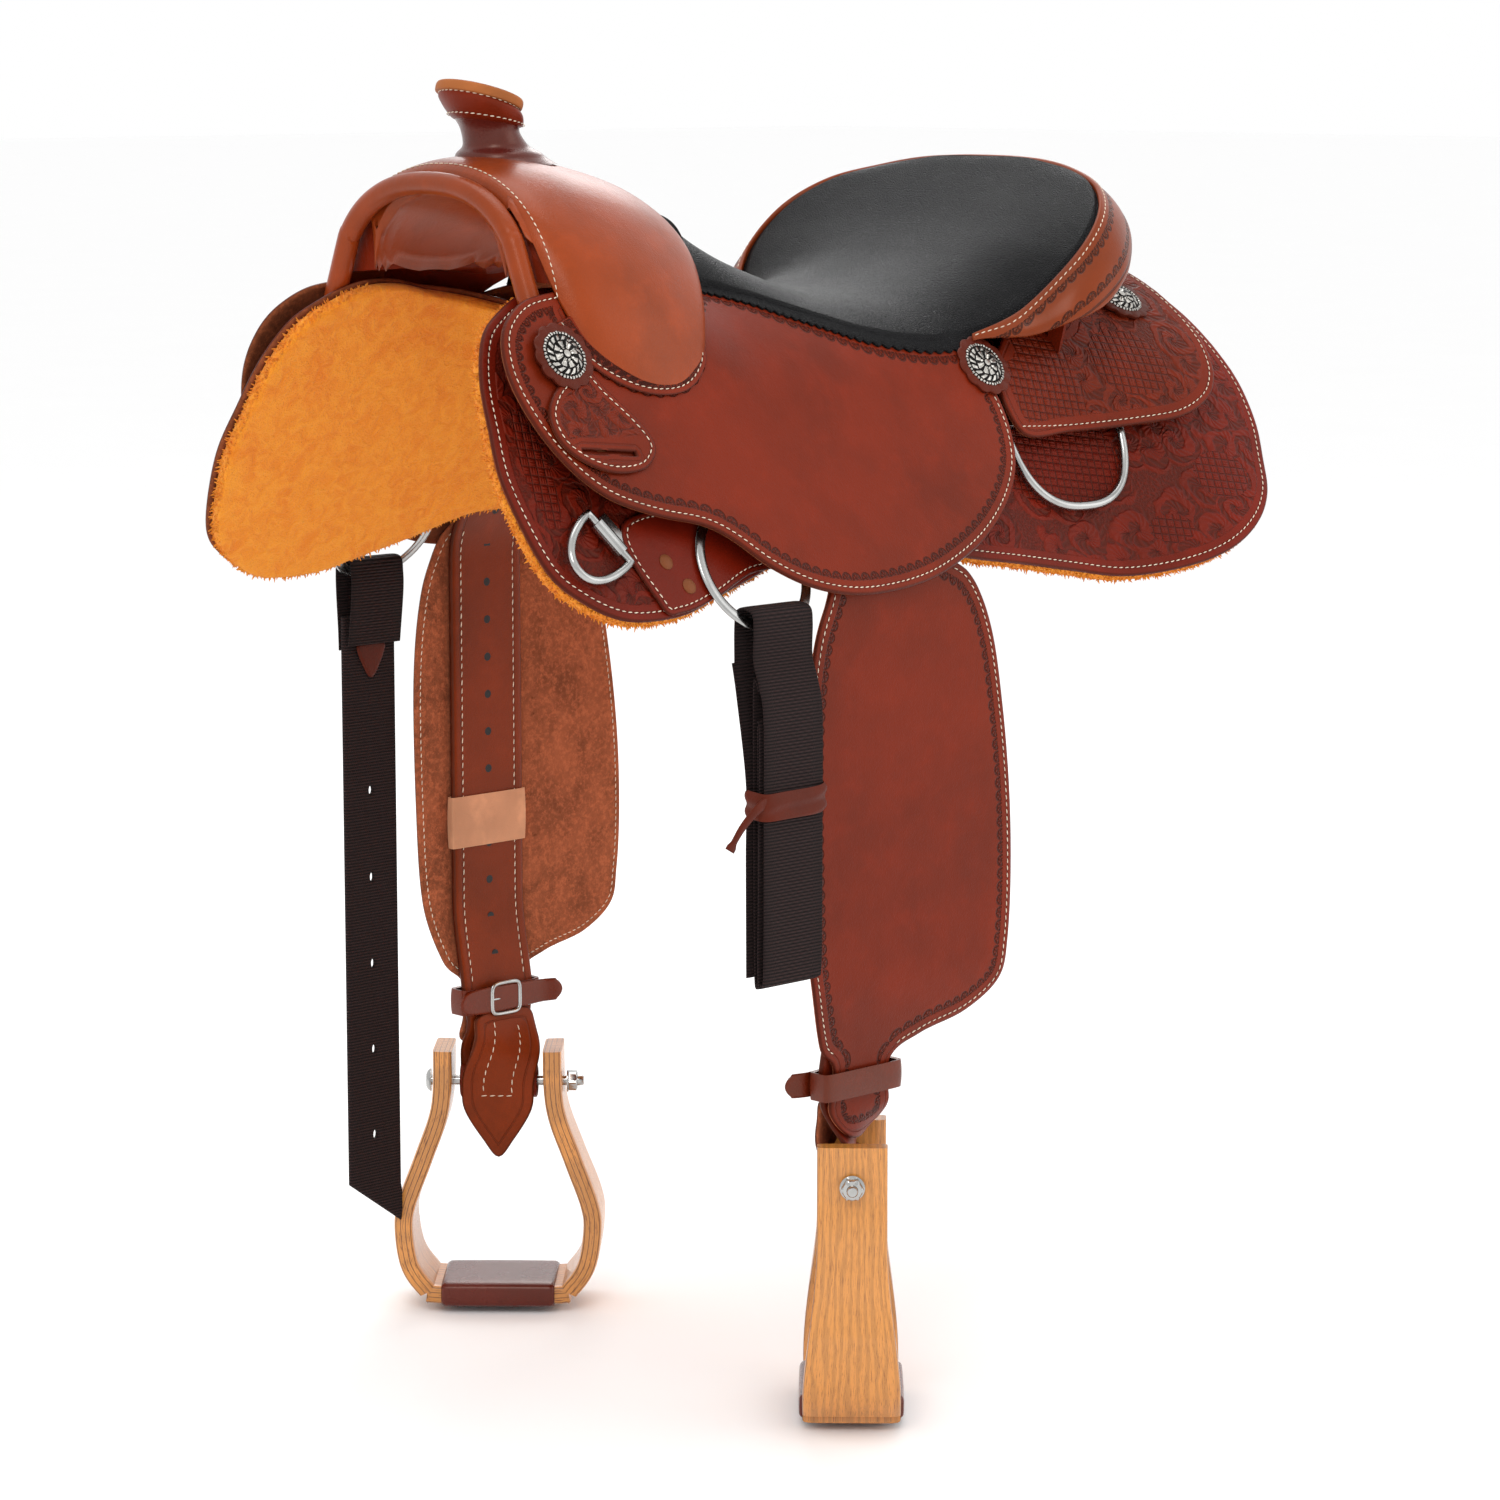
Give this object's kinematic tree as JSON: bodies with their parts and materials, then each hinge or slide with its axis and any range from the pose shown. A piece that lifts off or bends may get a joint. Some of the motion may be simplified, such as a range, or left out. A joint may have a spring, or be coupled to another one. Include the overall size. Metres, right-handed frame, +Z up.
{
  "type": "western saddle",
  "caption": "Leather western pleasure saddle with padded dished seat, fork and horn, low wide cantle, tooled skirts over fleece, hanging fenders, wooden stirrups and flat rigging rings.",
  "frame": {"origin": "on the centre line, level with the line on the flat sides where the horse form is 186 mm wide, below the seat", "axes": "+Z up, -X towards the horse's head, -Y towards the near side that faces the camera"},
  "size_m": [0.737, 0.5466, 0.9473],
  "materials": {
    "cover": "smooth oiled, satin",
    "fleece": "synthetic shearling, matt",
    "leather": "smooth oiled, satin",
    "nylon": "woven webbing, matt",
    "oak": "laminated and varnished",
    "seat": "pebbled, matt",
    "silver": "antiqued silver finish",
    "skirting": "tooled, satin",
    "steel": "stainless, satin",
    "tan": "natural vegetable tan, matt",
    "timber": "bare wood and rawhide, hidden",
    "wrap": "oiled, glossy"
  },
  "bodies": {
    "saddle": {"near_fleece": "fleece", "near_skirt": "skirting", "near_rigging_plate": "skirting", "near_tree_bar": "timber", "near_seat_jockey": "leather", "near_rear_jockey": "skirting", "near_slot_tab": "leather", "near_concho_front": "silver", "near_concho_corner": "silver", "near_concho_rear": "silver", "near_breast_dee_clip": "steel", "off_fleece": "fleece", "off_skirt": "skirting", "off_rigging_plate": "skirting", "off_tree_bar": "timber", "off_seat_jockey": "leather", "off_rear_jockey": "skirting", "off_slot_tab": "leather", "off_concho_front": "silver", "off_concho_corner": "silver", "off_concho_rear": "silver", "off_breast_dee_clip": "steel", "padded_seat": "seat", "ground_seat": "timber", "cantle_roll": "cover", "tree_cantle": "timber", "cantle_back": "cover", "fork_cover": "cover", "tree_fork": "timber", "gullet_roll": "cover", "horn_core": "timber", "horn_wrap": "wrap", "horn_cap": "tan"},
    "latigo": {"latigo": "nylon"},
    "off_billet": {"off_billet": "nylon"},
    "near_fender_swinging": {"near_fender": "leather", "near_stirrup_leather": "leather", "near_hobble_strap": "leather", "near_hobble_buckle": "steel"},
    "near_stirrup_swinging": {"near_stirrup": "oak", "near_stirrup_tread": "wrap", "near_stirrup_bolt": "steel", "near_stirrup_roller": "wrap"},
    "near_sleeve": {"near_buckle_sleeve": "tan"},
    "near_ring": {"near_rigging_ring": "steel"},
    "near_front_dee": {"near_breast_dee": "steel"},
    "near_back_dee": {"near_rear_dee": "steel"},
    "off_fender_swinging": {"off_fender": "leather", "off_stirrup_leather": "leather", "off_hobble_strap": "leather", "off_hobble_buckle": "steel"},
    "off_stirrup_swinging": {"off_stirrup": "oak", "off_stirrup_tread": "wrap", "off_stirrup_bolt": "steel", "off_stirrup_roller": "wrap"},
    "off_sleeve": {"off_buckle_sleeve": "tan"},
    "off_ring": {"off_rigging_ring": "steel"},
    "off_front_dee": {"off_breast_dee": "steel"},
    "off_back_dee": {"off_rear_dee": "steel"}
  },
  "joints": [
    {"name": "near_fender_swing", "type": "hinge", "parent": "saddle", "child": "near_fender_swinging", "pos_m": [-0.07, -0.15191, -0.07287], "axis": [0, -0.8829, 0.4695], "range_deg": [-1, 12]},
    {"name": "near_stirrup_swing", "type": "hinge", "parent": "near_fender_swinging", "child": "near_stirrup_swinging", "pos_m": [-0.085, -0.19323, -0.598], "axis": [0.7071, 0.7071, 0], "range_deg": [-35, 35]},
    {"name": "near_sleeve_slide", "type": "slide", "parent": "near_fender_swinging", "child": "near_sleeve", "axis": [0, 0, 1], "range_m": [-0.02, 0.02]},
    {"name": "near_ring_flip", "type": "hinge", "parent": "saddle", "child": "near_ring", "pos_m": [-0.188, -0.17656, -0.11413], "axis": [-1, 0, 0], "range_deg": [0, 5]},
    {"name": "latigo_swing", "type": "hinge", "parent": "near_ring", "child": "latigo", "pos_m": [-0.188, -0.21975, -0.19536], "axis": [-1, 0, 0], "range_deg": [0, 6]},
    {"name": "near_front_dee_flip", "type": "hinge", "parent": "saddle", "child": "near_front_dee", "pos_m": [-0.308, -0.18363, -0.12679], "axis": [-0.5098, 0.4039, 0.7596], "range_deg": [0, 60]},
    {"name": "near_back_dee_flip", "type": "hinge", "parent": "saddle", "child": "near_back_dee", "pos_m": [0.162, -0.16361, -0.0764], "axis": [-0.9934, 0.1143, -0.0074], "range_deg": [0, 5]},
    {"name": "off_fender_swing", "type": "hinge", "parent": "saddle", "child": "off_fender_swinging", "pos_m": [-0.07, 0.15191, -0.07287], "axis": [0, -0.8829, -0.4695], "range_deg": [0, 12]},
    {"name": "off_stirrup_swing", "type": "hinge", "parent": "off_fender_swinging", "child": "off_stirrup_swinging", "pos_m": [-0.085, 0.19323, -0.598], "axis": [0.7071, -0.7071, 0], "range_deg": [-1, 35]},
    {"name": "off_sleeve_slide", "type": "slide", "parent": "off_fender_swinging", "child": "off_sleeve", "axis": [0, 0, 1], "range_m": [-0.02, 0.02]},
    {"name": "off_ring_flip", "type": "hinge", "parent": "saddle", "child": "off_ring", "pos_m": [-0.188, 0.17656, -0.11413], "axis": [1, 0, 0], "range_deg": [0, 5]},
    {"name": "off_billet_swing", "type": "hinge", "parent": "off_ring", "child": "off_billet", "pos_m": [-0.188, 0.21975, -0.19536], "axis": [1, 0, 0], "range_deg": [0, 6]},
    {"name": "off_front_dee_flip", "type": "hinge", "parent": "saddle", "child": "off_front_dee", "pos_m": [-0.308, 0.18363, -0.12679], "axis": [0.5098, 0.4039, -0.7596], "range_deg": [0, 60]},
    {"name": "off_back_dee_flip", "type": "hinge", "parent": "saddle", "child": "off_back_dee", "pos_m": [0.162, 0.16361, -0.0764], "axis": [0.9934, 0.1143, 0.0074], "range_deg": [0, 5]}
  ]
}
